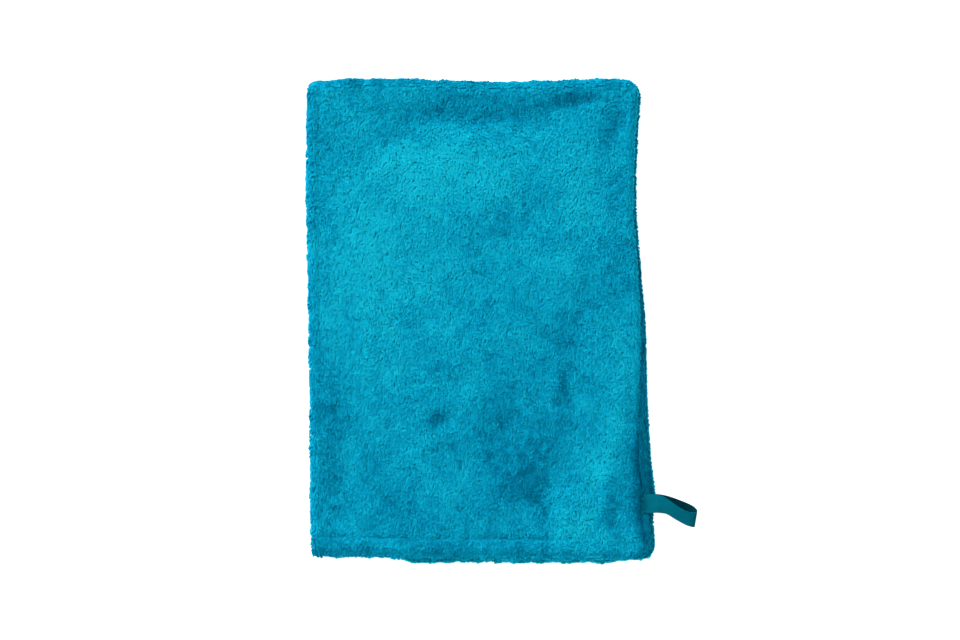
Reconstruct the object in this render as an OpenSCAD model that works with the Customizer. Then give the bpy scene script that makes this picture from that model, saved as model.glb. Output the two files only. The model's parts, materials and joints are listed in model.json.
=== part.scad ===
// Terry wash mitt: two terry panels sewn together on three sides and turned right side out,
// with a hemmed mouth and a tape loop caught in one side seam.
// Lying flat: +Z up out of the front panel, +Y towards the closed finger end, -Y the mouth,
// +X towards the hanging loop. The origin is the centre of the face that the mitt rests on.

/* [Body] */
// Length from the closed end to the mouth edge of the back panel
body_l = 210; // [190:1:240]
// Width across the two side seams at the mouth
mouth_w = 150; // [135:1:180]
// Width across the two side seams at the closed end
closed_w = 145; // [130:1:180]
// Sideways offset of the mouth's middle from the origin
mouth_shift = 1; // [-3:0.5:3]
// Sideways offset of the closed end's middle, because the mitt lies a little askew
closed_shift = -3.5; // [-5:0.5:5]
// Overall thickness of the mitt lying flat, with the pocket slack
total_h = 11; // [10.4:0.1:12]
// Height of the side and top seams above the resting face
seam_z = 5.5; // [5.2:0.1:5.8]
// Radius of the two turned corners of the closed end
corner_r = 7; // [4:0.5:12]
// Radius of the mouth corner on the loop's side
mouth_corner_r = 5; // [3:0.5:8]

/* [Cloth] */
// Thickness of one layer of terry
cloth_t = 2.2; // [1.8:0.1:2.4]
// Thickness of the turned-in hem, two layers pressed together
hem_t = 3.2; // [2.8:0.1:3.3]
// Depth of the turned-in hem at the mouth
hem_depth = 7.5; // [6:0.5:12]
// How far the front panel's mouth edge sits behind the back panel's
front_setback = 2.5; // [1:0.5:5]
// Width over which the front panel slopes down to its seams
front_slope = 14; // [12:1:18]
// Width over which the back panel curls up to its seams
back_slope = 10; // [9:1:12]
// How far the loop side's seam has rolled over onto the front at the mouth
roll_w = 5.8; // [5:0.2:6.4]

/* [Seams] */
// Width of the overlocked seam allowance inside the pocket
allowance_w = 5.6; // [4:0.2:7]
// Thickness of one pressed cloth edge in the seam allowance
allowance_t = 0.85; // [0.6:0.05:0.9]
// Distance between two stitches of the overlock seams
overlock_pitch = 4; // [3:0.5:6]
// Distance between two stitches of the hem
hem_pitch = 3.5; // [2.5:0.5:5]
// Thickness of the sewing thread
thread_d = 0.3; // [0.2:0.05:0.4]

/* [Hanging loop] */
// Width of the tape
tape_w = 8; // [6:0.5:12]
// Thickness of the tape
tape_t = 0.6; // [0.4:0.1:0.7]
// Reach of the loop from the seam that it comes out of
loop_reach = 23; // [20:0.5:26]
// Inside radius of the loop's nose, half the height of its eye
eye_r = 3.2; // [3:0.1:3.4]
// Distance of the loop's root from the mouth edge of the back panel, along the seam
loop_from_mouth = 25.5; // [20:0.5:55]
// How far the loop's nose droops towards the mouth
loop_droop = 6.4; // [0:0.2:8]

/* [Hidden] */
$fn = 48;

// Height that is cut away above and below a profile, and length past the ends of an edge
far = 300;
// Gap between the front panel and what it lifts away from
part_gap = 0.15;

front_r = (front_slope * front_slope + pow(total_h - seam_z, 2)) / (2 * (total_h - seam_z));
back_r = (back_slope * back_slope + seam_z * seam_z) / (2 * seam_z);

mouth_y = -body_l / 2;
closed_y = body_l / 2;
front_mouth_y = mouth_y + front_setback;
front_hem_y = front_mouth_y + hem_depth;
back_hem_y = mouth_y + hem_depth;

mouth_left = [mouth_shift - mouth_w / 2, mouth_y];
mouth_right = [mouth_shift + mouth_w / 2, mouth_y];
closed_left = [closed_shift - closed_w / 2, closed_y];
closed_right = [closed_shift + closed_w / 2, closed_y];

// The three sewn edges, each with the pocket on its left
right_edge = [mouth_right, closed_right];
top_edge = [closed_right, closed_left];
left_edge = [closed_left, mouth_left];

function unit(v) = v / norm(v);
function edge_dir(edge) = unit(edge[1] - edge[0]);
function edge_angle(edge) = atan2(edge_dir(edge)[1], edge_dir(edge)[0]);
function edge_len(edge) = norm(edge[1] - edge[0]);
function turn_left(v) = [-v[1], v[0]];

// Point inset inward of an edge, a distance s along it
function beside(edge, s, inset) = edge[0] + edge_dir(edge) * s + turn_left(edge_dir(edge)) * inset;
// Point inset inward of two edges that leave a corner along dir_a and dir_b
function inside(corner, dir_a, dir_b, inset) =
    corner + (dir_a + dir_b) * inset / sin(acos(dir_a * dir_b));

// Local X runs along the edge, local Y points into the pocket
module on_edge(edge) translate([edge[0][0], edge[0][1], 0]) rotate(edge_angle(edge)) children();

// Cross-section of the mitt beside a sewn edge, taken in by inset all round
module edge_profile(inset) {
    intersection() {
        union() {
            translate([front_slope, total_h - front_r]) circle(r = front_r - inset);
            translate([front_slope, seam_z]) square([far, total_h - inset - seam_z]);
        }
        translate([-1, seam_z]) square([far, total_h]);
    }
    intersection() {
        union() {
            translate([back_slope, back_r]) circle(r = back_r - inset);
            translate([back_slope, inset]) square([far, seam_z - inset]);
        }
        translate([-1, -1]) square([far, seam_z + 1]);
    }
}

module edge_body(edge, inset)
    on_edge(edge)
        translate([-far / 2, 0, 0])
            rotate([90, 0, 90]) linear_extrude(2 * far) edge_profile(inset);

// The flattened pouch with no mouth edge: it runs on past the mouth
module pouch(inset)
    intersection() {
        edge_body(right_edge, inset);
        edge_body(top_edge, inset);
        edge_body(left_edge, inset);
    }

module y_slab(y0, y1)
    translate([-far / 2, y0, -1]) cube([far, y1 - y0, total_h + 2]);

// What a round corner of radius r removes, between two edges that leave it along dir_a and dir_b
module corner_cut(corner, dir_a, dir_b, r) {
    angle = acos(dir_a * dir_b);
    run = r / tan(angle / 2);
    centre = inside(corner, dir_a, dir_b, r);
    past = 3;
    translate([0, 0, -1]) linear_extrude(total_h + 2) difference() {
        polygon([
            corner - (dir_a + dir_b) * past,
            corner + dir_a * run - dir_b * past,
            corner + dir_a * run,
            centre,
            corner + dir_b * run,
            corner + dir_b * run - dir_a * past
        ]);
        translate(centre) circle(r = r);
    }
}

module closed_end_corners() {
    corner_cut(closed_right, -edge_dir(right_edge), edge_dir(top_edge), corner_r);
    corner_cut(closed_left, -edge_dir(top_edge), edge_dir(left_edge), corner_r);
}

// The terry pouch, with a thicker hem from the mouth edge to the hem line
module shell(mouth_edge_y, hem_y)
    difference() {
        intersection() {
            pouch(0);
            y_slab(mouth_edge_y, closed_y + 1);
        }
        intersection() {
            pouch(cloth_t);
            y_slab(hem_y, closed_y + 1);
        }
        intersection() {
            pouch(hem_t);
            y_slab(mouth_edge_y - 1, hem_y);
        }
        closed_end_corners();
    }

// Where the roll starts and where it is nearly full, as shares of the loop side from the mouth
roll_start = 0.67 * edge_len(right_edge);
roll_full = 0.3 * edge_len(right_edge);
// Inset of the rolled seam at a distance s from the mouth, up to where the roll is nearly full
function roll_inset(s) = roll_w * (1 - 0.22 * s / roll_full);

// The strip along the loop side where the back panel has rolled onto the front, grown by grow
module rolled_strip(grow)
    on_edge(right_edge)
        translate([0, 0, seam_z - 1])
            linear_extrude(total_h)
                polygon([
                    [-1, -5],
                    [roll_start, -5],
                    [roll_start, grow],
                    [roll_full, roll_inset(roll_full) + grow],
                    [-1, roll_inset(-1) + grow]
                ]);

// Groove that the hem stitches pull into the cloth, on the flat of a panel
groove_w = 1;
groove_d = 0.5;
stitch_run = mouth_w - 2 * front_slope - 4;
module hem_groove(y, z)
    translate([mouth_shift - stitch_run / 2 - 1, y - groove_w / 2, z])
        cube([stitch_run + 2, groove_w, groove_d]);

module front_panel()
    color("deepskyblue")
        difference() {
            intersection() {
                shell(front_mouth_y, front_hem_y);
                translate([-far / 2, -far / 2, seam_z + part_gap]) cube([far, far, total_h]);
            }
            rolled_strip(part_gap);
            hem_groove(front_hem_y - groove_w, total_h - groove_d);
            hem_groove(front_hem_y - groove_w, total_h - hem_t);
        }

// Inset at which the seam allowances start to lie on each other, and how far they reach
edge_inset = 5.4;
allowance_end = edge_inset + allowance_w;
front_edge_z = seam_z - part_gap;

// Line that runs inset inward of the three seams, from the mouth round to the mouth
function seam_line(inset) = [
    beside(right_edge, 0, inset),
    inside(closed_right, -edge_dir(right_edge), edge_dir(top_edge), inset),
    inside(closed_left, -edge_dir(top_edge), edge_dir(left_edge), inset),
    beside(left_edge, edge_len(left_edge), inset)
];
function reversed(list) = [for (i = [len(list) - 1 : -1 : 0]) list[i]];

// One panel's cut edge, turned in along the three seams, from inset in0 and at height z
module turned_edge(in0, z)
    intersection() {
        translate([0, 0, z])
            linear_extrude(allowance_t)
                polygon(concat(seam_line(in0), reversed(seam_line(allowance_end))));
        y_slab(front_hem_y + 2 * part_gap, closed_y);
    }

module back_panel()
    color("deepskyblue")
        difference() {
            union() {
                intersection() {
                    shell(mouth_y, back_hem_y);
                    union() {
                        translate([-far / 2, -far / 2, -1]) cube([far, far, seam_z + 1 - part_gap]);
                        rolled_strip(-part_gap);
                    }
                }
                turned_edge(cloth_t, front_edge_z - allowance_t);
            }
            hem_groove(back_hem_y - groove_w, 0);
            hem_groove(back_hem_y - groove_w, hem_t - groove_d);
            closed_end_corners();
            corner_cut(mouth_right, [-1, 0], edge_dir(right_edge), mouth_corner_r);
            loop_slot();
        }

// The front panel's cut edge, caught in the three seams on top of the back panel's
module front_seam_edge()
    color("deepskyblue")
        difference() {
            turned_edge(edge_inset, front_edge_z);
            translate([0, 0, -1]) tape_ends_block(foot_reach + 1, allowance_t + 2);
        }

// Where the stitches of an edge start and end: clear of the hems and of the closed end's corners
hem_clear = front_setback + hem_depth + 1.5;
function stitch_start(edge) = edge == right_edge ? hem_clear : allowance_end + 2;
function stitch_end(edge) = edge_len(edge) - (edge == left_edge ? hem_clear : allowance_end + 2);
function stitch_places(edge) = [stitch_start(edge) : overlock_pitch : stitch_end(edge) - overlock_pitch];

// Straight stitches that close the seam, on top of the two cloth edges
module needle_thread(edge)
    color("darkcyan")
        for (s = stitch_places(edge))
            on_edge(edge)
                translate([s, edge_inset + 0.6, front_edge_z + allowance_t])
                    cube([overlock_pitch * 0.7, thread_d, thread_d]);

// Stitches that bind the raw edge: over the top, round the edge and back underneath
module looper_thread(edge)
    color("darkcyan")
        for (s = stitch_places(edge))
            on_edge(edge)
                translate([s, 0, 0])
                    difference() {
                        translate([0, edge_inset + 1.6, front_edge_z - allowance_t - thread_d])
                            cube([thread_d * 2, allowance_w - 1.6 + thread_d, 2 * (allowance_t + thread_d)]);
                        translate([-1, edge_inset, front_edge_z - allowance_t])
                            cube([thread_d * 2 + 2, allowance_w, 2 * allowance_t]);
                    }

// One row of lockstitches along a hem, each stitch a short rod
module stitch_row(y, z)
    color("darkcyan")
        for (x = [mouth_shift - stitch_run / 2 : hem_pitch : mouth_shift + stitch_run / 2 - hem_pitch])
            translate([x, y, z]) rotate([0, 90, 0]) cylinder(h = hem_pitch * 0.75, d = thread_d);

front_stitch_y = front_hem_y - groove_w;
back_stitch_y = back_hem_y - groove_w;
rod_r = thread_d / 2;
module front_hem_needle_thread() stitch_row(front_stitch_y, total_h - groove_d + rod_r);
module front_hem_bobbin_thread() stitch_row(front_stitch_y, total_h - hem_t + groove_d - rod_r);
module back_hem_needle_thread() stitch_row(back_stitch_y, groove_d - rod_r);
module back_hem_bobbin_thread() stitch_row(back_stitch_y, hem_t - groove_d + rod_r);

// The loop comes out of the rolled seam, root_in inward of the loop side's outer edge
root_in = roll_inset(loop_from_mouth) - part_gap - tape_t;
root_z = total_h - 1.4;
nose_r = eye_r + tape_t;
nose_at = loop_reach - nose_r;
// Half of the gap between the tape's two runs at the root
root_gap = 0.1;
// The nose hangs down until it lies just clear of what the mitt rests on
nose_drop = root_z - nose_r - part_gap;
tape_steps = 8;

// Frame of the loop: origin at its root, X outward, Y along the seam towards the closed end
module at_loop()
    on_edge(right_edge)
        translate([loop_from_mouth, root_in, root_z]) rotate(-90) children();

// A round nose of radius r that narrows along two straight sides to a root of half height root_r.
// The sides meet the nose just short of tangentially, so that they cross its outline cleanly.
module drop(root_r, r, at) {
    slope = asin((r - root_r) / at);
    side_end = 0.97 * r;
    translate([at, 0]) circle(r = r);
    polygon([
        [0, -root_r],
        [at - side_end * sin(slope), -side_end * cos(slope)],
        [at - side_end * sin(slope), side_end * cos(slope)],
        [0, root_r]
    ]);
}

// What the tape leaves free on one side of it: its edges droop more and more towards the mouth
function droop_at(x) = -loop_droop * pow(max(x, 0) / loop_reach, 2);
tape_xs = [for (i = [-1 : tape_steps + 1]) i * loop_reach / tape_steps];
module beside_tape(side)
    translate([0, 0, -far / 2])
        linear_extrude(far)
            polygon(concat(
                [for (x = tape_xs) [x, droop_at(x) + side * tape_w / 2]],
                [[tape_xs[len(tape_xs) - 1], side * far / 3], [tape_xs[0], side * far / 3]]
            ));

// A drop extruded across the tape, hanging down towards its nose
module drop_body(root_r, r, width)
    rotate([0, asin(nose_drop / nose_at), 0])
        translate([0, width / 2, 0])
            rotate([90, 0, 0]) linear_extrude(width) drop(root_r, r, nose_at);

module hanging_loop()
    color("teal")
        at_loop()
            difference() {
                drop_body(tape_t + root_gap, nose_r, 4 * tape_w);
                drop_body(root_gap, eye_r, 5 * tape_w);
                beside_tape(1);
                beside_tape(-1);
            }

// How far the tape's ends reach inward, from the slot's outer side to just short of the cloth edges
foot_reach = allowance_end - root_in + tape_t - 0.3;

// Both runs of the tape, width in_w inward from the slot's outer side and height h up
module tape_ends_block(in_w, h)
    on_edge(right_edge)
        translate([loop_from_mouth - tape_w / 2, root_in - tape_t, front_edge_z])
            cube([tape_w, in_w, h]);

// Slot through the rolled seam that the tape's two ends pass through
module loop_slot() tape_ends_block(2 * tape_t, total_h);

// The tape's two ends, one on the other: down through the seam, then in along the allowance
module hanging_loop_ends()
    color("teal")
        union() {
            tape_ends_block(foot_reach, allowance_t);
            tape_ends_block(2 * tape_t, root_z - tape_t - 3 * part_gap - front_edge_z);
        }

back_panel();
front_panel();
front_seam_edge();
needle_thread(left_edge);  // left_seam_needle_thread
looper_thread(left_edge);  // left_seam_looper_thread
needle_thread(right_edge);  // right_seam_needle_thread
looper_thread(right_edge);  // right_seam_looper_thread
needle_thread(top_edge);  // top_seam_needle_thread
looper_thread(top_edge);  // top_seam_looper_thread
back_hem_needle_thread();
back_hem_bobbin_thread();
front_hem_needle_thread();
front_hem_bobbin_thread();
hanging_loop_ends();
hanging_loop();
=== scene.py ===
"""Looks of the terry wash mitt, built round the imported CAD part.

The cloth, its looped pile, the hems, the rolled side seam and the tape loop are modelled here.
Lengths are in millimetres, in the part's own frame, until a mesh is made: +Z is up, +Y is the closed
end, -Y is the mouth and +X is the side with the loop.
"""

import json
import math

import bpy
import numpy as np
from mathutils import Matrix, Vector


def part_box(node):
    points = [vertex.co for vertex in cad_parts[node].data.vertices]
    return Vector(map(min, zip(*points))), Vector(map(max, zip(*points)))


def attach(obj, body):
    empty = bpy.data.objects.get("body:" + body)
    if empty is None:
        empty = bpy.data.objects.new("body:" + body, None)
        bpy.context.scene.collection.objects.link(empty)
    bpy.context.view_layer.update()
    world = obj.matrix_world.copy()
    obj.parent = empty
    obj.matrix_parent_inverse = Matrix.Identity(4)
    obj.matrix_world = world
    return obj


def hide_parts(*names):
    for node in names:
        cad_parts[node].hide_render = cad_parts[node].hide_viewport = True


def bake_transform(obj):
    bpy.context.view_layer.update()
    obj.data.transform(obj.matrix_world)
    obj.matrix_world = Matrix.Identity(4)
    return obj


MM = 0.001

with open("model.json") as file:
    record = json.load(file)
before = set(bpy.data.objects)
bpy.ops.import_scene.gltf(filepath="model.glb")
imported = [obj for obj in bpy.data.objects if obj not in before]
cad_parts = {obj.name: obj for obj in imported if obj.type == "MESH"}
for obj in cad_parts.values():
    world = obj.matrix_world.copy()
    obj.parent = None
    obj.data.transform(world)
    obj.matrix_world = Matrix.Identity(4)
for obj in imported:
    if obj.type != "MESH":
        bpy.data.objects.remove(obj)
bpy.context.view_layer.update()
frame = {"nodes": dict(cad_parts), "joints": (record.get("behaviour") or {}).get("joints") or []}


# ---------------------------------------------------------------- measures taken from the CAD part


def joint(name):
    return next(j for j in frame["joints"] if j["name"] == name)


def node_points(name):
    return np.array([v.co for v in frame["nodes"][name].data.vertices]) / MM


def node_box(name):
    """Lowest and highest corners of a CAD node, in millimetres."""
    low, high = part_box(name)
    return np.array(low) / MM, np.array(high) / MM


BACK_LOW, BACK_HIGH = node_box("back_panel")
FRONT_LOW, FRONT_HIGH = node_box("front_panel")
MOUTH_Y, CLOSED_Y = BACK_LOW[1], BACK_HIGH[1]
LENGTH = CLOSED_Y - MOUTH_Y
# The two panels meet a little below the front one's underside
SEAM_Z = FRONT_LOW[2] - 0.15
TOTAL_H = FRONT_HIGH[2]

back_points = node_points("back_panel")
MOUTH_LEFT_X = back_points[back_points[:, 1] < MOUTH_Y + 0.5, 0].min()
CLOSED_LEFT_X = BACK_LOW[0]
MOUTH_RIGHT_X = BACK_HIGH[0]

# The loop's hinge lies along the right-hand seam
loop_swing = joint("loop_swing")
HINGE_AT = np.array(loop_swing["pos_m"]) / MM
SEAM_DIR = -np.array(loop_swing["axis"])
SEAM_LEAN = SEAM_DIR[0] / SEAM_DIR[1]


def cad_left(y):
    return MOUTH_LEFT_X + (CLOSED_LEFT_X - MOUTH_LEFT_X) * (y - MOUTH_Y) / LENGTH


def cad_right(y):
    return MOUTH_RIGHT_X + SEAM_LEAN * (y - MOUTH_Y)


# ---------------------------------------------------------------- small mathematics


def smooth(t):
    t = np.clip(t, 0, 1)
    return t * t * (3 - 2 * t)


def lumps(x, y, size, seed):
    """Smooth noise from -1 to 1 over a plane, its lumps about size mm across."""
    table = np.random.default_rng(seed).uniform(-1, 1, (101, 101))
    gx, gy = x / size + 37.3, y / size + 51.7
    ix, iy = np.floor(gx).astype(int), np.floor(gy).astype(int)
    fx, fy = smooth(gx - ix), smooth(gy - iy)

    def at(a, b):
        return table[a % 101, b % 101]

    low = at(ix, iy) * (1 - fx) + at(ix + 1, iy) * fx
    high = at(ix, iy + 1) * (1 - fx) + at(ix + 1, iy + 1) * fx
    return low * (1 - fy) + high * fy


def curve(points, softness):
    """A function through given (place, value) points, rounded over softness mm."""
    places, values = zip(*points)
    at = np.arange(places[0] - 20, places[-1] + 20, 0.5)
    kernel = np.exp(-0.5 * (np.arange(-60, 61) * 0.5 / softness) ** 2)
    padded = np.pad(np.interp(at, places, values), 60, mode="edge")
    rounded = np.convolve(padded, kernel / kernel.sum(), mode="valid")
    return lambda p: np.interp(p, at, rounded)


def unit(v):
    return v / np.maximum(np.linalg.norm(v, axis=-1, keepdims=True), 1e-9)


# ---------------------------------------------------------------- the outline of the cloth, lying flat

# How far the pile stands out past the ground cloth, at the sewn edges and at the mouth's fold
PILE_OUT = 0.72
FOLD_OUT = 0.45
LEFT_CORNER, RIGHT_CORNER, MOUTH_CORNER = 5.0, 6.5, 7.0
TOP_Y = CLOSED_Y + 0.4 - PILE_OUT
# Where the mitt's width is taken near the mouth, clear of its corners
NEAR_MOUTH_Y = -95.0

# How far each side lies outside the CAD part's straight seam line, along the mitt
left_stray = curve([(-103, -0.4), (-75, 0.0), (-30, 0.0), (10, 0.2), (60, 0.5), (105, 0.0)], 6)
right_stray = curve(
    [
        (-105, 0.2), (-94, 1.0), (-88, -0.2), (-82, 0.6), (-74, 1.6), (-61, 0.2), (-48, -0.3), (-28, -0.4),
        (0, -0.1), (15, -1.0), (32, -2.0), (45, -2.6), (60, -2.3), (83, -0.7), (98, 0.9), (105, 1.1),
    ],
    3,
)
# How far the closed end's edge lies off its straight line, across the mitt
top_stray = curve(
    [
        (-76, -1.4), (-67, -0.4), (-57, 0.0), (-35, 0.2), (-13, -0.9),
        (8, -1.2), (30, -0.7), (52, 0.2), (63, 0.1), (70, -0.5),
    ],
    4,
)
# How far inside the CAD part's mouth each panel's own edge ends, across the mitt
back_mouth = curve(
    [
        (-74, 3.0), (-66, 2.3), (-48, 2.2), (-35, 1.3), (-25, -0.3),
        (20, -0.4), (50, -0.4), (64, -0.3), (70, 0.6), (76, 2.4),
    ],
    3,
)
front_mouth = curve([(-74, 3.3), (-40, 2.5), (0, 1.6), (40, 1.1), (75, 1.6)], 8)
# How far inside the mouth the hem is sewn, across the mitt
hem_line = curve([(-74, 10.9), (-30, 10.3), (20, 9.6), (75, 9.2)], 8)
# Width of the strip where the loop side's seam has rolled over onto the front, along the mitt
roll_width = curve(
    [
        (-105, 3.4), (-90, 4.0), (-74, 4.9), (-60, 4.5), (-44, 3.4),
        (-26, 2.3), (0, 1.6), (30, 1.0), (105, 0.7),
    ],
    5,
)


def scallops(x):
    """The mouth's edges are a little wavy from tuft to tuft."""
    return 0.55 * lumps(x, 0 * x, 2.3, 23)


def hem_y(x):
    return MOUTH_Y + hem_line(x)


def corner_cut(y, radius):
    """How far a round corner at the closed end cuts in."""
    up = np.clip(y - (TOP_Y - radius), 0, radius)
    return radius - np.sqrt(radius**2 - up**2)


def left_x(y):
    return cad_left(y) - left_stray(y) + PILE_OUT + corner_cut(y, LEFT_CORNER)


def mouth_cut(y):
    """How far the round corner under the loop cuts in."""
    down = np.clip((MOUTH_Y + MOUTH_CORNER) - y, 0, MOUTH_CORNER - 0.2)
    return MOUTH_CORNER - np.sqrt(MOUTH_CORNER**2 - down**2)


def right_x(y):
    return cad_right(y) + right_stray(y) - PILE_OUT - corner_cut(y, RIGHT_CORNER) - mouth_cut(y)


def valley_x(y):
    """Where the front goes down behind the rolled side seam."""
    return right_x(y) - roll_width(y) * smooth((TOP_Y - y) / 5 + 0.15)


# ---------------------------------------------------------------- the relief of the front

# Soft bulges and hollows of the resting front: place, reach along and across, turn in degrees, height
RELIEF = [
    (4, 87, 42, 5.5, -2, -1.2),
    (38, 93.5, 15, 2.6, 8, -0.8),
    (-40, 79, 18, 6, 28, -0.7),
    (0, 100, 70, 2.6, 0, 0.45),
    (-20, 50, 50, 22, 5, 0.8),
    (20, 10, 40, 20, 25, 0.6),
    (-60, -58, 36, 6, 90, -0.6),
    (-16.5, -43.5, 5, 3.6, 30, -1.1),
    (-24, -52, 16, 4, 40, 0.45),
    (41, -34, 20, 4.5, 86, -0.9),
    (30, -71, 17, 8, 58, -1.3),
    (8, -42, 20, 6, 68, -0.5),
    (57, -60, 34, 5, 84, 0.9),
    (59, -83, 5, 3, 80, -0.9),
    (40, 0, 24, 7, 62, -0.6),
    (-36, -80, 16, 6, -30, -0.5),
    (-12, -76, 14, 5, -60, 0.4),
    (60, 84, 12, 4, 62, -0.7),
    (19, 44, 12, 8, 30, -0.3),
]


def patches(x, y, marks):
    """The sum of soft oval patches."""
    total = np.zeros_like(x)
    for cx, cy, reach, across, turn, strength in marks:
        c, s = math.cos(math.radians(turn)), math.sin(math.radians(turn))
        along = ((x - cx) * c + (y - cy) * s) / reach
        over = (-(x - cx) * s + (y - cy) * c) / across
        total += strength * np.exp(-(along**2) - over**2)
    return total


def relief(x, y):
    """Height of the resting front above its smooth crowned shape."""
    fine = 0.30 * lumps(x, y, 19, 5) + 0.24 * lumps(x + 0.4 * y, y, 9, 6) + 0.10 * lumps(x, y, 4.5, 7)
    return 1.25 * patches(x, y, RELIEF) + fine


# Painted shade and painted light on the pile's colour, where the relief and the brushed pile would darken
# or lighten it: place, reach along and across, turn in degrees, strength
PAINTED_SHADE_PATCHES = [
    (-8, 91, 30, 4.6, -3, -0.7),
    (36, 97, 15, 3.0, 6, -1.1),
    (-40, 82, 16, 6, 24, -0.5),
    (-65, -61, 34, 5, 88, -0.4),
    (-18, -42, 5.5, 3.2, 30, -0.9),
    (-13, -55, 3, 2.5, 0, -0.4),
    (39, 3, 22, 7, 60, -0.45),
    (36, -32, 15, 3, 86, -0.8),
    (21.6, -64, 16, 9, 55, -0.7),
    (23, -77, 5, 4, 0, -0.8),
    (26, -87, 7, 3, 90, -0.4),
    (7, -38, 18, 7, 70, -0.4),
    (56.5, -78, 6, 2.5, 90, -0.8),
    (55, -87, 4, 3, 0, -0.6),
    (62, -77, 4, 2, 90, -0.5),
    (-40, -76, 16, 7, -30, -0.4),
    (17, 47, 12, 8, 30, -0.3),
    (58, 86, 12, 4, 60, -0.5),
    (-16, 67, 34, 16, 0, 0.9),
    (-51, 35, 24, 12, 80, 0.5),
    (42, 58, 22, 12, 80, 0.4),
    (-31, 18, 26, 20, 0, 0.3),
    (54, -58, 30, 6, 77, 0.6),
    (38, -90, 8, 5, 0, 0.5),
    (-7, -32, 8, 3, 70, 0.3),
    (-24, -52, 16, 3, 40, 0.4),
    (-15, -75, 14, 5, -60, 0.35),
    (-46, 4, 30, 22, 90, 0.4),
    (-30, 38, 30, 14, 10, 0.2),
    (42, 30, 26, 10, 85, 0.15),
    (14, -56, 30, 13, 62, -0.35),
    (38, -12, 26, 6, 62, -0.2),
    (60, -36, 26, 5, 84, 0.2),
    (-66, -50, 32, 6, 90, -0.25),
    (-28, -86, 34, 10, -6, -0.25),
    (10, -96, 30, 5, 0, -0.2),
]


def painted_shade_and_tone(x, y):
    """Painted shade below 0 and painted light above 0 from the patches, and random tone from the lumps."""
    broad = 0.22 * lumps(x, y, 13, 9) + 0.25 * lumps(x, y, 6, 8)
    return patches(x, y, PAINTED_SHADE_PATCHES) + broad + 0.25 * lumps(x, y, 2.6, 10) + 0.15 * lumps(x, y, 1.5, 11)


def nearest(*distances):
    """The smallest of the distances, rounded where two are alike."""
    total = sum(np.maximum(d, 1e-3) ** -5.0 for d in distances)
    return total**-0.2


def ridge(d, width):
    """1 on a line and falling off softly either side of it."""
    return np.exp(-((d / width) ** 2))


def shoulder(d, radius):
    """0 at an edge, 1 from radius inward, round like a folded cloth edge."""
    t = np.clip(d / radius, 0, 1)
    return np.sqrt(1 - (1 - t) ** 2)


def rolled(y):
    """0 where the side seam lies at the edge, 1 where it has rolled well over onto the front."""
    return smooth((roll_width(y) - 1.0) / 3.0)


def hem_share(x):
    """How clearly the hem shows: it fades towards the loop side."""
    return 1 - 0.9 * smooth((x - 32) / 18)


def hem_groove(x, y):
    """How much the hem's stitching pulls the cloth in: patchy, and fading towards the loop side."""
    hem = y - hem_y(x)
    return (0.65 + 0.35 * lumps(x, y, 16, 16)) * hem_share(x) * ridge(hem, 1.1)


def front_z(x, y):
    """Height of the front's ground cloth."""
    from_left, from_right, from_top = x - left_x(y), valley_x(y) - x, TOP_Y - y
    d = nearest(from_left, from_right, from_top)
    fall = 1.6 * rolled(y) * np.exp(-np.maximum(from_right, 0) / 3.4)
    z = SEAM_Z + (2.75 - fall) * shoulder(d, 3.0)
    z += 1.25 * smooth((d - 5) / 24)
    z += relief(x, y) * smooth((d - 1.0) / 7)
    z += 0.35 * ridge(from_top - 3.2, 1.7) - 0.30 * ridge(from_left - 4.3, 1.5)
    z += 0.30 * ridge(from_left - 1.9, 1.2) * smooth(d / 2)
    hem = y - hem_y(x)
    z += 0.25 * hem_share(x) * ridge(hem + 3.6, 2.4) * smooth(d / 4)
    z -= 0.65 * hem_groove(x, y) * smooth(d / 2.5)
    z -= 1.0 * smooth((-hem - 4.4) / 3.4) * smooth(d / 3)
    return z


# Height of the back's ground cloth where it rests on its pile, and of its outer edge on the loop side
REST_Z = 1.15
BACK_EDGE_Z = SEAM_Z - 0.2


def back_z(x, y):
    """Height of the back's ground cloth under the mitt; its sewn edge laps the front's."""
    d = nearest(x - left_x(y), right_x(y) - x, TOP_Y - y)
    hem = y - hem_y(x)
    edge_z = BACK_EDGE_Z + 0.7 * smooth((right_x(y) - x) / 12)
    z = REST_Z + (edge_z - REST_Z) * (1 - shoulder(d, 9.0))
    z += 0.12 * lumps(x, y, 15, 15) * smooth((d - 3) / 8)
    z += 0.4 * ridge(hem, 0.8) * smooth(d / 6)
    return z + 0.9 * smooth((-hem - 5.8) / 3.6) * smooth(d / 6)


# ---------------------------------------------------------------- the two panels as grids of points

# Length of each panel along the mitt, from the closed end to the mouth's fold
FRONT_RUN, BACK_RUN = 206.0, 209.0
FRONT_COLUMNS, BACK_COLUMNS, ROLL_COLUMNS = 111, 101, 16
# Between the panel and its turned hem, and how deep the hem goes back in
HEM_GAP, HEM_TURN = 1.3, 8.5
# Places of the first rows from the closed end
EDGE_STEPS = [0, 0.05, 0.18, 0.4, 0.75, 1.2, 1.7, 2.3, 3.0, 3.8, 4.8, 6.0, 7.5]


def across_steps(count):
    """Places across a panel from 0 to 1, closer together at both sides."""
    return 0.5 - 0.5 * np.cos(np.linspace(0, math.pi, count))


def along_steps(run):
    """Places down a panel of length run: close at the closed end, at the hem stitches and at the mouth."""
    body = np.arange(9.5, run - 14, 1.9)
    hem = np.arange(body[-1] + 1, run - 0.5, 0.45)
    return np.concatenate([EDGE_STEPS, body, hem, [run]])


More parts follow.
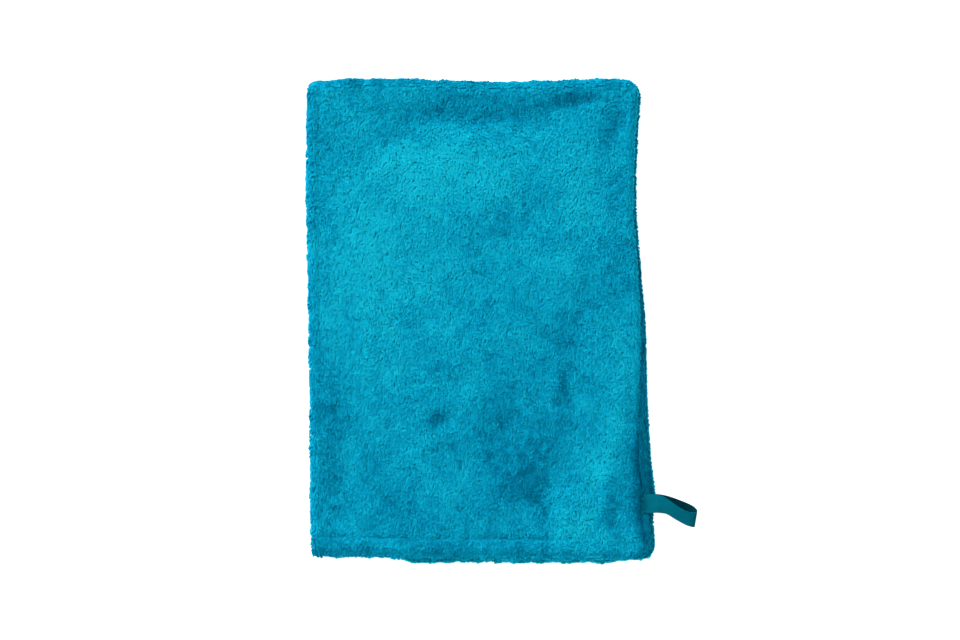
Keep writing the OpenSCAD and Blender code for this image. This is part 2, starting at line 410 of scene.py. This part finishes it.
def with_hem(grid):
    """The grid with its last row turned round the mouth and back up inside as a hem."""
    down = unit(grid[-1] - grid[-3])
    across = np.gradient(grid[-1], axis=0)
    out = unit(np.cross(down, across))
    room = HEM_GAP * np.clip(hem_room(grid[-1]), 0.12, 1)[:, None]
    rows = [grid]
    for turn in np.linspace(0, math.pi, 8)[1:]:
        forward = down * room / 2 * math.sin(turn)
        inward = out * room / 2 * (1 - math.cos(turn))
        rows.append((grid[-1] + forward - inward)[None])
    back = grid[::-1]
    reach = np.linalg.norm(np.diff(back[:, grid.shape[1] // 2], axis=0), axis=1).cumsum()
    for k in range(1, 1 + int(np.searchsorted(reach, HEM_TURN))):
        step_down = unit(back[k - 1] - back[k + 1])
        facing = unit(np.cross(step_down, np.gradient(back[k], axis=0)))
        rows.append((back[k] - facing * room)[None])
    return np.concatenate(rows)


def hem_room(points):
    """From 0 at a side seam to 1 where the hem has its full thickness."""
    x, y = points[:, 0], points[:, 1]
    return smooth(nearest(x - left_x(y), right_x(y) - x) / 4)


def panel_points(x, y, z):
    """A panel's grid, its closed end moved to the real, slightly wavy edge, and its mouth hemmed."""
    return with_hem(np.stack([x, y + top_stray(x) * np.exp(-(TOP_Y - y) / 9), z], axis=-1))


def front_grid():
    """The front's ground cloth, its columns from the left side to the valley."""
    s, f = np.meshgrid(along_steps(FRONT_RUN), across_steps(FRONT_COLUMNS), indexing="ij")
    x0 = left_x(NEAR_MOUTH_Y) + f * (valley_x(NEAR_MOUTH_Y) - left_x(NEAR_MOUTH_Y))
    fold_y = MOUTH_Y + front_mouth(x0) + scallops(x0 + 9) + FOLD_OUT
    y = TOP_Y + (fold_y - TOP_Y) * s / FRONT_RUN
    x = left_x(y) + f * (valley_x(y) - left_x(y))
    return panel_points(x, y, front_z(x, y))


def back_grid():
    """The back's ground cloth: columns from the valley round the rolled seam, then under to the left."""
    roll = np.linspace(0, 1, ROLL_COLUMNS + 1)[:-1]
    columns = np.concatenate([roll, 1 + across_steps(BACK_COLUMNS)])
    s, c = np.meshgrid(along_steps(BACK_RUN), columns, indexing="ij")
    on_roll = c < 1
    f = np.clip(c - 1, 0, 1)
    across = right_x(NEAR_MOUTH_Y) + f * (left_x(NEAR_MOUTH_Y) - right_x(NEAR_MOUTH_Y))
    x0 = np.where(on_roll, 72, across)
    fold_y = MOUTH_Y + back_mouth(x0) + scallops(x0) + FOLD_OUT
    y = TOP_Y + (fold_y - TOP_Y) * s / BACK_RUN
    width = right_x(y) - valley_x(y)
    t = np.clip(c, 0, 1)
    crest = (0.52 * width + 0.06 * lumps(x0, y, 11, 21) * width) * smooth((TOP_Y - y) / 5)
    level = (SEAM_Z + 0.25 * (1 - t)) * (1 - t) + BACK_EDGE_Z * t
    roll_z = level + crest * np.sin(np.pi * t**0.75) ** 0.8
    roll_x = valley_x(y) + width * (1 - np.cos(np.pi * t)) / 2
    under_x = right_x(y) + f * (left_x(y) - right_x(y))
    x = np.where(on_roll, roll_x, under_x)
    return panel_points(x, y, np.where(on_roll, roll_z, back_z(under_x, y)))


# ---------------------------------------------------------------- meshes


def add_mesh(name, points, faces, material):
    """A smooth mesh of quads, from points in millimetres."""
    mesh = bpy.data.meshes.new(name)
    mesh.vertices.add(len(points))
    mesh.vertices.foreach_set("co", (points * MM).astype(np.float32).ravel())
    mesh.loops.add(faces.size)
    mesh.loops.foreach_set("vertex_index", faces.astype(np.int32).ravel())
    mesh.polygons.add(len(faces))
    mesh.polygons.foreach_set("loop_start", np.arange(0, faces.size, faces.shape[1], dtype=np.int32))
    mesh.polygons.foreach_set("use_smooth", np.ones(len(faces), bool))
    mesh.update(calc_edges=True)
    mesh.validate()
    mesh.materials.append(material)
    made = bpy.data.objects.new(name, mesh)
    bpy.context.scene.collection.objects.link(made)
    return made


def set_attribute(made, name, values):
    """A number on each point of a mesh, for its material to read."""
    attribute = made.data.attributes.new(name, "FLOAT", "POINT")
    attribute.data.foreach_set("value", values.ravel().astype(np.float32))


def grid_faces(rows, columns):
    """Quads between the points of a grid."""
    i, j = np.meshgrid(np.arange(rows - 1), np.arange(columns - 1), indexing="ij")
    a = (i * columns + j).ravel()
    return np.stack([a, a + columns, a + columns + 1, a + 1], axis=1)


def cloth(name, grid, thickness, material):
    """A sheet of cloth or tape of even thickness, from a grid of points."""
    rows, columns = grid.shape[:2]
    made = add_mesh(name, grid.reshape(-1, 3), grid_faces(rows, columns), material)
    thick = made.modifiers.new("thickness", "SOLIDIFY")
    thick.thickness = thickness * MM
    thick.offset = 0
    return made


def tubes(paths, radius, sides, flat_dir):
    """Yarn along each path: paths (n, k, 3), radius a number or (n, k), flat_dir (n, 3).

    Gives the points, the faces, and the outward direction at each point.
    """
    n, k = paths.shape[:2]
    ahead = unit(np.gradient(paths, axis=1))
    first = unit(np.cross(np.cross(ahead, flat_dir[:, None, :]), ahead))
    second = np.cross(ahead, first)
    angle = np.arange(sides) * 2 * math.pi / sides
    ring = first[:, :, None, :] * np.cos(angle)[:, None] + second[:, :, None, :] * np.sin(angle)[:, None]
    thick = np.broadcast_to(radius, (n, k))[:, :, None, None]
    points = (paths[:, :, None, :] + ring * thick).reshape(-1, 3)
    t, i, j = np.meshgrid(np.arange(n), np.arange(k - 1), np.arange(sides), indexing="ij")
    base = t * k * sides
    a = base + i * sides + j
    b = base + i * sides + (j + 1) % sides
    faces = np.stack([a, b, b + sides, a + sides], axis=-1).reshape(-1, 4)
    return points, faces, ring


# ---------------------------------------------------------------- the looped pile

# Distances between rows of loops and between loops in a row
ROW_STEP, LOOP_STEP = 1.15, 1.0
# Radius of the yarn, height of the loops, and how far they lean over
YARN = 0.24
PILE_H = 1.5
LEAN = 2.0
# The way the pile is brushed, in radians from across the mitt: towards the mouth
BRUSHED = -1.75
# How far the light on the yarn follows the cloth rather than each strand
SOFTNESS = 0.76
# One loop from foot to foot: sideways in its own plane, along its lean, up, and the yarn's thickness
LOOP_ASIDE = np.array([-0.22, -0.27, -0.2, 0.2, 0.27, 0.22])
LOOP_OUT = np.array([0.0, 0.42, 0.93, 1.0, 0.52, 0.1])
LOOP_UP = np.array([0.0, 0.72, 0.98, 1.0, 0.66, 0.0])
LOOP_THICK = np.array([0.85, 1.0, 1.05, 1.05, 1.0, 0.85])


def row_places(down, middle, step):
    """Distances of the pile's rows down the cloth: twice as close where the cloth turns round the mouth."""
    distinct = down + 1e-6 * np.arange(len(down))
    steepness = np.abs(np.gradient(middle[:, 2], distinct))
    at, found = step * 0.4, []
    while at < down[-1]:
        found.append(at)
        at += step * (0.5 if np.interp(at, down, steepness) > 0.5 else 1.0)
    return found


def between(places, at, vectors):
    """Vectors at places, from those known at the distances in at."""
    return np.stack([np.interp(places, at, vectors[:, c]) for c in range(3)], axis=1)


def loop_places(grid, closeness, seed):
    """Feet of the loops on a grid: points, directions along the warp and across it, and facing."""
    rng = np.random.default_rng(seed)
    middle = grid[:, grid.shape[1] // 2]
    down = np.concatenate([[0], np.linalg.norm(np.diff(middle, axis=0), axis=1).cumsum()])
    loop_step = LOOP_STEP / closeness
    found = []
    for at in row_places(down, middle, ROW_STEP / closeness):
        k = int(np.clip(np.searchsorted(down, at), 1, len(down) - 1))
        share = (at - down[k - 1]) / max(down[k] - down[k - 1], 1e-6)
        row = grid[k - 1] * (1 - share) + grid[k] * share
        warp = unit(grid[k] - grid[k - 1])
        over = np.concatenate([[0], np.linalg.norm(np.diff(row, axis=0), axis=1).cumsum()])
        places = np.arange(loop_step * rng.uniform(0.2, 0.8), over[-1], loop_step)
        places = np.clip(places + rng.uniform(-0.42, 0.42, len(places)), 0.02, over[-1] - 0.02)
        foot = between(places, over, row)
        weft = between(places, over, unit(np.gradient(row, axis=0)))
        ahead = between(places, over, warp)
        foot += unit(ahead) * rng.uniform(-0.55, 0.55, (len(places), 1))
        found.append((foot, unit(ahead), unit(weft)))
    foot, ahead, weft = (np.concatenate(part) for part in zip(*found))
    facing = unit(np.cross(ahead, weft))
    return foot, ahead, unit(np.cross(facing, ahead)), facing


def drift(x, y):
    """How far each loop is turned from the way the pile is brushed, in radians."""
    return 0.3 * lumps(x, y, 34, 32) + 0.35 * lumps(x, y, 11, 33) + 0.45 * lumps(x, y, 4, 34)


def pile(name, places, height, seed, material, tone, spread=1.0):
    """Loops of yarn laid over on the cloth: all one way where spread is 0, in soft drifts at 1.

    Their shade goes on the mesh as "nap", from 0, dark, to 1, light.
    """
    foot, ahead, weft, facing = places
    rng = np.random.default_rng(seed)
    n = len(foot)
    x, y, z = foot[:, 0], foot[:, 1], foot[:, 2]
    edge = smooth(1.15 - np.abs(facing[:, 2]))
    loop_side = smooth((x - 55) / 10)
    tuft = 1 + (0.25 + edge * (0.2 - 0.4 * loop_side)) * lumps(x + z, y + z, 3.0, 35)
    tuft += 0.12 * lumps(x, y, 7, 36)
    dimple = smooth((-lumps(x, y, 2.5, 37) - 0.5) / 0.3) * (1 - edge)
    fold = smooth(-1.6 * facing[:, 1] - 0.3)
    high = height * tuft * (1 - 0.4 * dimple) * (1 - 0.18 * edge - 0.2 * fold)
    high *= rng.uniform(0.88, 1.1, n)
    angle = BRUSHED + spread * (drift(x, y) + rng.normal(0, 0.25, n))
    lean = weft * np.cos(angle)[:, None] - ahead * np.sin(angle)[:, None]
    reach = (LEAN * rng.uniform(0.7, 1.3, n) * (1 - 0.55 * edge))[:, None, None]
    twist = angle + math.pi / 2 + spread * rng.normal(0, 0.35, n)
    plane = weft * np.cos(twist)[:, None] - ahead * np.sin(twist)[:, None]
    width = rng.uniform(0.75, 1.2, n)[:, None, None]
    paths = foot[:, None, :] + plane[:, None, :] * LOOP_ASIDE[None, :, None] * width
    paths += facing[:, None, :] * LOOP_UP[None, :, None] * (high[:, None, None] - YARN)
    paths += lean[:, None, :] * (LOOP_OUT[None, :, None] - 0.5) * reach
    paths[..., 2] = np.maximum(paths[..., 2], YARN)
    thick = YARN * rng.uniform(0.86, 1.16, (n, 1)) * (1 + 0.45 * edge + 0.2 * fold)[:, None] * LOOP_THICK
    points, faces, outward = tubes(paths, thick, 4, facing)
    made = add_mesh(name, points, faces, material)
    soft = unit(outward * (1 - SOFTNESS) + facing[:, None, None, :] * SOFTNESS)
    made.data.normals_split_custom_set_from_vertices(soft.reshape(-1, 3).tolist())
    # The patches, the tone passed in and the dimples' darkening are painted shade and painted light; the
    # noise is random tone.
    shade = 0.5 + 0.42 * painted_shade_and_tone(x, y) + tone - 0.12 * dimple + rng.normal(0, 0.08, n)
    set_attribute(made, "painted_shade_and_tone", np.repeat(np.clip(shade, 0, 1), len(points) // n))
    return made


# ---------------------------------------------------------------- materials


def new_material(name):
    made = bpy.data.materials.new(name)
    made.use_nodes = True
    return made, made.node_tree.nodes, made.node_tree.links


def ramp(nodes, stops):
    made = nodes.new("ShaderNodeValToRGB")
    elements = made.color_ramp.elements
    for element, (place, colour) in ((elements[0], stops[0]), (elements[1], stops[-1])):
        element.position = place
        element.color = (*colour, 1)
    for place, colour in stops[1:-1]:
        elements.new(place).color = (*colour, 1)
    return made


def maths(nodes, links, operation, first, second):
    """A Math node on a socket and a second socket or a number."""
    made = nodes.new("ShaderNodeMath")
    made.operation = operation
    links.new(first, made.inputs[0])
    if isinstance(second, float):
        made.inputs[1].default_value = second
    else:
        links.new(second, made.inputs[1])
    return made.outputs[0]


def attribute_value(nodes, name):
    made = nodes.new("ShaderNodeAttribute")
    made.attribute_name = name
    return made.outputs["Fac"]


def add_bump(nodes, links, height, strength, distance):
    made = nodes.new("ShaderNodeBump")
    made.inputs["Strength"].default_value = strength
    made.inputs["Distance"].default_value = distance
    links.new(height, made.inputs["Height"])
    links.new(made.outputs["Normal"], nodes["Principled BSDF"].inputs["Normal"])


def noise(nodes, links, where, scale, detail, roughness):
    made = nodes.new("ShaderNodeTexNoise")
    made.inputs["Scale"].default_value = scale
    made.inputs["Detail"].default_value = detail
    made.inputs["Roughness"].default_value = roughness
    links.new(where, made.inputs["Vector"])
    return made.outputs["Fac"]


def terry_material(name, dark, mid, light, bump=0.25, by_painted_shade=True):
    """Cotton yarn: colour from painted shade and light on the mesh, varied a little, with the fibres as a
    bump.
    """
    made, nodes, links = new_material(name)
    shader = nodes["Principled BSDF"]
    where = nodes.new("ShaderNodeTexCoord").outputs["Object"]
    tone = noise(nodes, links, where, 900, 2.0, 0.6)
    if by_painted_shade:
        # This attribute carries painted shade and painted light, with a little random tone.
        lay = maths(nodes, links, "SUBTRACT", attribute_value(nodes, "painted_shade_and_tone"), 0.15)
        tone = maths(nodes, links, "ADD", maths(nodes, links, "MULTIPLY", tone, 0.3), lay)
    deep = tuple(0.7 * part for part in dark)
    colour = ramp(nodes, [(0.0, deep), (0.14, dark), (0.5, mid), (0.9, light)])
    links.new(tone, colour.inputs["Fac"])
    links.new(colour.outputs["Color"], shader.inputs["Base Color"])
    add_bump(nodes, links, noise(nodes, links, where, 4200, 2.0, 0.6), bump, 0.0002)
    shader.inputs["Roughness"].default_value = 0.95
    shader.inputs["Specular IOR Level"].default_value = 0.0
    shader.inputs["Subsurface Weight"].default_value = 0.7
    shader.inputs["Subsurface Radius"].default_value = (1.0, 1.0, 1.0)
    shader.inputs["Subsurface Scale"].default_value = 0.0015
    return made


def weave_material(name, inside, dark, light, across, threads):
    """Fine woven tape or twisted thread, with painted shade where "deep" is set on the mesh."""
    made, nodes, links = new_material(name)
    shader = nodes["Principled BSDF"]
    where = nodes.new("ShaderNodeTexCoord").outputs["Object"]
    wave = nodes.new("ShaderNodeTexWave")
    wave.wave_type = "BANDS"
    wave.bands_direction = across
    wave.inputs["Scale"].default_value = threads
    wave.inputs["Distortion"].default_value = 1.5
    wave.inputs["Detail"].default_value = 2.0
    wave.inputs["Detail Scale"].default_value = 3.0
    links.new(where, wave.inputs["Vector"])
    ribs = wave.outputs["Fac"]
    blotched = maths(nodes, links, "MULTIPLY", ribs, noise(nodes, links, where, 260, 3.0, 0.6))
    lifted = maths(nodes, links, "ADD", blotched, 0.4)
    tone = maths(nodes, links, "SUBTRACT", lifted, attribute_value(nodes, "deep"))
    colour = ramp(nodes, [(0.0, inside), (0.45, dark), (0.95, light)])
    links.new(tone, colour.inputs["Fac"])
    links.new(colour.outputs["Color"], shader.inputs["Base Color"])
    add_bump(nodes, links, ribs, 0.5, 0.00012)
    shader.inputs["Roughness"].default_value = 0.7
    shader.inputs["Specular IOR Level"].default_value = 0.0
    return made


pile_look = terry_material(
    "terry_pile", dark=(0.0007, 0.22, 0.42), mid=(0.0018, 0.396, 0.708), light=(0.0045, 0.605, 0.95)
)
# The pile of the rolled seam is painted darker, a painted shade for its being turned away from the light
rolled_painted_shade_look = terry_material(
    "terry_rolled_painted_shade", dark=(0.0006, 0.11, 0.2), mid=(0.001, 0.185, 0.325), light=(0.002, 0.28, 0.46)
)
ground_look = terry_material(
    "terry_ground",
    dark=(0.001, 0.28, 0.50),
    mid=(0.0015, 0.37, 0.63),
    light=(0.002, 0.45, 0.74),
    bump=0.5,
    by_painted_shade=False,
)
# The tape's near-black inside colour is painted shade for the inside of the eye, the nose and the tucked
# ends.
tape_look = weave_material(
    "loop_tape",
    inside=(0.0006, 0.022, 0.032),
    dark=(0.001, 0.13, 0.19),
    light=(0.0014, 0.19, 0.27),
    across="Y",
    threads=620,
)
# The ground cloth under the rolled seam's pile, painted darker as painted shade
rolled_painted_shade_ground = terry_material(
    "terry_rolled_ground_painted_shade",
    dark=(0.0005, 0.06, 0.13),
    mid=(0.0008, 0.11, 0.21),
    light=(0.001, 0.15, 0.27),
    bump=0.5,
    by_painted_shade=False,
)
thread_look = weave_material(
    "sewing_thread",
    inside=(0.001, 0.10, 0.18),
    dark=(0.002, 0.20, 0.33),
    light=(0.003, 0.32, 0.50),
    across="X",
    threads=1300,
)


# ---------------------------------------------------------------- the cloth of the two panels

CLOTH_T = 0.7
front = front_grid()
back = back_grid()
middle = front.shape[1] // 2
# The middle column is moved onto x = 0, so that both halves of the front follow it there
share = smooth(1 - np.abs(np.linspace(-1, 1, front.shape[1])) / 0.9)
front[:, :, 0] -= front[:, middle : middle + 1, 0] * share[None, :]


def bend(made, side):
    """Moves the piece's placing into its mesh; the side's seam place is worked out but not used."""
    seam = left_x(NEAR_MOUTH_Y) if side == "left" else valley_x(NEAR_MOUTH_Y)
    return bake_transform(made)


def front_half(side, grid):
    made = cloth(f"front_cloth_{side}", grid, CLOTH_T, ground_look)
    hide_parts("front_panel")
    return bend(made, side)


def back_sheet():
    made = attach(cloth("back_cloth", back, CLOTH_T, ground_look), "back")
    made.data.materials.append(rolled_painted_shade_ground)
    on_roll = np.zeros((back.shape[0] - 1, back.shape[1] - 1), np.int32)
    on_roll[:, : ROLL_COLUMNS - 1] = 1
    made.data.polygons.foreach_set("material_index", on_roll.ravel())
    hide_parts("back_panel")
    return made


left_cloth = front_half("left", front[:, : middle + 1])
right_cloth = front_half("right", front[:, middle:])
back_cloth = back_sheet()


# ---------------------------------------------------------------- the pile of the two panels


def bands(count):
    """The pile is made in numbered bands down each panel; the first and the last reach past its ends."""
    edges = np.linspace(CLOSED_Y, MOUTH_Y, count + 1)
    edges[0] += 2
    edges[-1] -= 9
    return list(enumerate(zip(edges[:-1], edges[1:]), 1))


def pick(places, mask):
    return tuple(part[mask] for part in places)


def front_painted_shade(x, y):
    """Painted shade on the front's pile near the valley, along the edges and on the hem."""
    from_valley = np.maximum(valley_x(y) - x, 0)
    near_loop = smooth((-40 - y) / 25)
    valley_shade = (0.18 * rolled(y) + 0.75 * near_loop) * (0.4 + 0.6 * smooth((y + 96) / 14))
    tone = -0.75 * valley_shade * ridge(from_valley, 3.0 + 1.5 * near_loop)
    tone -= 0.4 * ridge(TOP_Y - y, 2.4) + 0.22 * ridge(x - left_x(y), 2.2)
    return tone - 0.12 * smooth((hem_y(x) - y) / 2) * hem_share(x)


def make_front_pile():
    """The front's pile, as a list for each side."""
    places = loop_places(front, 1.12, 41)
    x, y = places[0][:, 0], places[0][:, 1]
    from_valley = np.maximum(valley_x(y) - x, 0)
    height = PILE_H * (1 - 0.3 * hem_groove(x, y)) * (1 - 0.3 * np.exp(-from_valley / 1.2))
    # Painted shade on the front's pile near the valley, along the closed end and left side, and on the hem.
    tone = front_painted_shade(x, y)
    made = {"left": [], "right": []}
    for side, on_side, first_seed in (("left", x < 0, 40), ("right", x >= 0, 60)):
        for number, (high_y, low_y) in bands(6):
            mask = on_side & (y <= high_y) & (y > low_y)
            name = f"front_pile_{side}_{number}"
            piece = pile(name, pick(places, mask), height[mask], first_seed + number, pile_look, tone[mask])
            made[side].append(bend(piece, side))
    return made


def rolled_shade(x, y):
    """Ribs along the rolled seam as random tone, with painted shade beside the valley and round the loop.
    """
    ribs = 0.2 * lumps(right_x(y) - x, y / 9, 0.9, 72)
    round_loop = 0.25 * smooth((-50 - y) / 15) * smooth((y + 92) / 8)
    return ribs - round_loop - 0.25 * ridge(x - valley_x(y), 1.6)


def make_back_pile():
    """The back's pile: the strip rolled onto the front, then the rest."""
    places = loop_places(back, 1.0, 42)
    foot, _, _, facing = places
    x, y = foot[:, 0], foot[:, 1]
    on_roll = (x > valley_x(y) - 0.3) & (facing[:, 2] > -0.25) & (facing[:, 1] > -0.6)
    tone = rolled_shade(x, y)[on_roll]
    made = [pile("back_pile_rolled", pick(places, on_roll), PILE_H * 0.66, 71, rolled_painted_shade_look, tone, 0.35)]
    # Painted light on the back's mouth strip, which lies in the front's shadow; painted shade on the back's
    # pile along the closed end.
    painted_light_at_mouth = (y < MOUTH_Y + back_mouth(x) + 4.5) & (facing[:, 2] > -0.4)
    painted_shade_at_top = (y > TOP_Y - 2) & (facing[:, 2] > -0.6)
    # The mitt's weight presses the pile under it a little flatter
    height = np.where(facing[:, 2] < -0.8, 1.15, PILE_H)
    tone = 0.5 * painted_light_at_mouth - 0.3 * painted_shade_at_top
    for number, (high_y, low_y) in bands(9):
        mask = ~on_roll & (y <= high_y) & (y > low_y)
        name = f"back_pile_{number}"
        made.append(pile(name, pick(places, mask), height[mask], 80 + number, pile_look, tone[mask]))
    return [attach(piece, "back") for piece in made]


front_pile = make_front_pile()
back_pile = make_back_pile()


# ---------------------------------------------------------------- hems and seams

STITCH_PITCH, STITCH_LENGTH, THREAD_R = 3.5, 2.7, 0.17
ALLOWANCE_W, ALLOWANCE_T = 5.4, 0.6


def stitches(name, xs, z_of):
    """A row of lockstitches along the front's hem: each a short dipping length of thread."""
    k = np.linspace(-0.5, 0.5, 7)
    x = xs[:, None] + k[None, :] * STITCH_LENGTH
    y = hem_y(x)
    z = z_of(x, y) - 0.45 * (2 * np.abs(k)[None, :]) ** 4
    flat_dir = np.tile([0.0, 1.0, 0.0], (len(xs), 1))
    points, faces, _ = tubes(np.stack([x, y, z], axis=-1), THREAD_R, 6, flat_dir)
    made = add_mesh(name, points, faces, thread_look)
    return made


def hem_stitches():
    xs = np.arange(left_x(NEAR_MOUTH_Y) + 5, valley_x(NEAR_MOUTH_Y) - 3, STITCH_PITCH)
    for side, own in (("left", xs[xs < -1.4]), ("right", xs[xs > 1.4])):
        made = stitches(f"front_hem_needle_{side}", own, lambda x, y: front_z(x, y) + 0.55)
        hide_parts("front_hem_needle_thread")
        bend(made, side)
        made = stitches(f"front_hem_bobbin_{side}", own, lambda x, y: front_z(x, y) - HEM_GAP - 0.55)
        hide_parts("front_hem_bobbin_thread")
        bend(made, side)


def allowance_strip(name, z):
    """One pressed cloth edge of the seam allowance, round the three sewn sides."""
    low, high = node_box("front_seam_edge")
    outer = np.array(
        [(high[0] - 0.6, low[1]), (high[0] - 6.9, high[1]), (low[0], high[1]), (low[0] + 2.0, low[1])]
    )
    inner = outer + ALLOWANCE_W * np.array([(-1, 0), (-1, -1), (1, -1), (1, 0)])
    rows = []
    for k in range(3):
        for t in np.linspace(0, 1, 70, endpoint=k == 2):
            start = outer[k] + (outer[k + 1] - outer[k]) * t
            end = inner[k] + (inner[k + 1] - inner[k]) * t
            rows.append([start + (end - start) * w for w in np.linspace(0, 1, 7)])
    rows = np.array(rows)
    z_all = z + 0.12 * lumps(rows[..., 0], rows[..., 1], 4, 61)
    rows[:, -1, 0] += 0.35 * lumps(rows[:, -1, 0], rows[:, -1, 1], 1.6, 62)
    made = cloth(name, np.concatenate([rows, z_all[..., None]], axis=-1), ALLOWANCE_T, ground_look)
    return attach(made, "back")


hem_stitches()
edge_low, edge_high = node_box("front_seam_edge")
front_edge = allowance_strip("front_seam_allowance", (edge_low[2] + edge_high[2]) / 2)
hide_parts("front_seam_edge")
back_edge = allowance_strip("back_seam_allowance", edge_low[2] - 0.45)


# ---------------------------------------------------------------- the tape loop

TAPE_T = 0.55
OUT_DIR = np.array([SEAM_DIR[1], -SEAM_DIR[0], 0.0])
SEAM_ALONG = np.array([SEAM_DIR[0], SEAM_DIR[1], 0.0])
UP = np.array([0, 0, 1.0])

# The tape's two edges, out along its top run, round the nose and back: outward, along the seam, up
TAPE_EDGES = [
    ((-3.0, 3.4, -4.6), (-3.0, -4.6, -4.6)),
    ((-1.2, 3.4, -3.9), (-1.2, -4.6, -3.9)),
    ((0.0, 3.4, -2.4), (0.0, -4.6, -2.5)),
    ((1.3, 3.6, -0.7), (1.3, -4.6, -0.8)),
    ((3.4, 3.9, 0.5), (3.4, -4.5, 0.1)),
    ((6.3, 3.7, 1.2), (6.0, -4.4, 0.0)),
    ((9.0, 2.7, 2.0), (8.6, -4.7, -1.2)),
    ((11.5, 0.9, 2.6), (11.0, -5.4, -2.3)),
    ((15.4, -2.0, 2.1), (14.8, -7.9, -3.5)),
    ((19.2, -4.2, 0.8), (18.4, -10.1, -4.7)),
    ((21.7, -4.9, -0.9), (20.9, -11.2, -5.8)),
    ((23.5, -4.9, -3.3), (22.4, -11.6, -7.1)),
    ((23.8, -3.9, -5.4), (22.5, -11.3, -8.1)),
    ((22.0, -2.1, -6.4), (20.9, -10.0, -8.5)),
    ((17.3, 0.2, -6.1), (16.7, -7.6, -8.0)),
    ((11.3, 2.6, -4.4), (11.1, -5.4, -5.4)),
    ((6.6, 3.7, -1.8), (6.4, -4.5, -2.0)),
    ((3.6, 3.9, -0.7), (3.6, -4.4, -0.8)),
    ((1.5, 3.6, -1.6), (1.5, -4.5, -1.7)),
    ((0.1, 3.4, -3.4), (0.1, -4.5, -3.5)),
    ((-1.2, 3.4, -4.7), (-1.2, -4.5, -4.7)),
    ((-3.0, 3.4, -5.4), (-3.0, -4.5, -5.4)),
]

# Along the same rows, how much painted shade the tape gets where it is tucked in, at the nose and inside
# the eye
TAPE_PAINTED_SHADE = [
    0.6, 0.6, 0.55, 0.4, 0.18, 0.05, 0, 0, 0, 0, 0.1,
    0.4, 0.6, 0.66, 0.66, 0.66, 0.66, 0.66, 0.6, 0.6, 0.6, 0.6,
]


def cubic(t, values, fine):
    """Catmull-Rom curve through values at whole numbers t."""
    k = np.clip(np.floor(fine).astype(int), 0, len(t) - 2)
    u = fine - k
    a, b, c, d = (values[np.clip(k + o, 0, len(t) - 1)] for o in (-1, 0, 1, 2))
    bow = (2 * a - 5 * b + 4 * c - d) * u**2
    return 0.5 * (2 * b + (c - a) * u + bow + (3 * b - a - 3 * c + d) * u**3)


def tape_loop():
    """The tape between its two edges, half on edge towards the nose so that the eye shows."""
    edges = np.array(TAPE_EDGES)
    t = np.arange(len(edges))
    fine = np.linspace(0, len(edges) - 1, 150)
    upper, lower = (np.stack([cubic(t, edges[:, e, c], fine) for c in range(3)], axis=1) for e in (0, 1))
    w = np.linspace(0, 1, 17)
    grid = upper[:, None, :] * (1 - w)[None, :, None] + lower[:, None, :] * w[None, :, None]
    turned = grid[..., :1] * OUT_DIR + grid[..., 1:2] * SEAM_ALONG + grid[..., 2:] * UP
    made = cloth("hanging_tape", HINGE_AT + turned, TAPE_T, tape_look)
    # Painted shade along both edges of the tape, where its rounded edge would catch the light.
    edge_shade = 0.22 * (np.abs(w - 0.5) > 0.49)
    set_attribute(made, "deep", np.maximum(np.interp(fine, t, TAPE_PAINTED_SHADE)[:, None], edge_shade[None, :]))
    rounded = made.modifiers.new("rounded edge", "BEVEL")
    rounded.width = 0.12 * MM
    rounded.segments = 2
    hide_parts("hanging_loop", "hanging_loop_ends")
    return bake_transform(made)


tape = tape_loop()


# ---------------------------------------------------------------- the CAD threads that stay

for name, node in frame["nodes"].items():
    if "thread" in name:
        node.data.materials.clear()
        node.data.materials.append(thread_look)
        for face in node.data.polygons:
            face.use_smooth = False


# ---------------------------------------------------------------- floor, light and camera

CAMERA_UP, PICTURE_WIDTH = 1.5, 0.4191


def add_floor():
    mesh = bpy.data.meshes.new("floor")
    mesh.from_pydata([(-6, -6, 0), (6, -6, 0), (6, 6, 0), (-6, 6, 0)], [], [(0, 1, 2, 3)])
    made = bpy.data.objects.new("floor", mesh)
    bpy.context.scene.collection.objects.link(made)
    material, nodes, _ = new_material("white_sweep")
    shader = nodes["Principled BSDF"]
    shader.inputs["Base Color"].default_value = (0.5, 0.5, 0.5, 1)
    shader.inputs["Specular IOR Level"].default_value = 0.0
    shader.inputs["Roughness"].default_value = 1.0
    shader.inputs["Emission Color"].default_value = (1, 1, 1, 1)
    shader.inputs["Emission Strength"].default_value = 0.9
    mesh.materials.append(material)


def add_world():
    """A white studio: bright low down, softer overhead."""
    world = bpy.data.worlds.new("studio")
    bpy.context.scene.world = world
    world.use_nodes = True
    nodes, links = world.node_tree.nodes, world.node_tree.links
    where = nodes.new("ShaderNodeTexCoord").outputs["Generated"]
    split = nodes.new("ShaderNodeSeparateXYZ")
    links.new(where, split.inputs[0])
    fade = ramp(nodes, [(0.02, (1, 1, 1)), (0.35, (0.6, 0.6, 0.6)), (1.0, (0.42, 0.42, 0.42))])
    links.new(split.outputs["Z"], fade.inputs["Fac"])
    links.new(fade.outputs["Color"], nodes["Background"].inputs["Color"])
    nodes["Background"].inputs["Strength"].default_value = 1.0


def add_sun(name, towards, strength, angle):
    data = bpy.data.lights.new(name, "SUN")
    data.energy = strength
    data.angle = math.radians(angle)
    made = bpy.data.objects.new(name, data)
    made.rotation_euler = Vector(towards).to_track_quat("Z", "Y").to_euler()
    bpy.context.scene.collection.objects.link(made)


def add_camera():
    """Straight above, as in the photograph."""
    data = bpy.data.cameras.new("camera")
    data.sensor_width = 36.0
    data.lens = 36.0 * CAMERA_UP / PICTURE_WIDTH
    made = bpy.data.objects.new("camera", data)
    made.location = (-0.0002, 0.0002, CAMERA_UP + TOTAL_H * MM * 0.73)
    bpy.context.scene.collection.objects.link(made)
    bpy.context.scene.camera = made


add_floor()
add_world()
add_sun("key", (-0.52, 0.66, 0.82), 2.95, 45)
add_camera()
bpy.context.scene.view_settings.view_transform = "Standard"
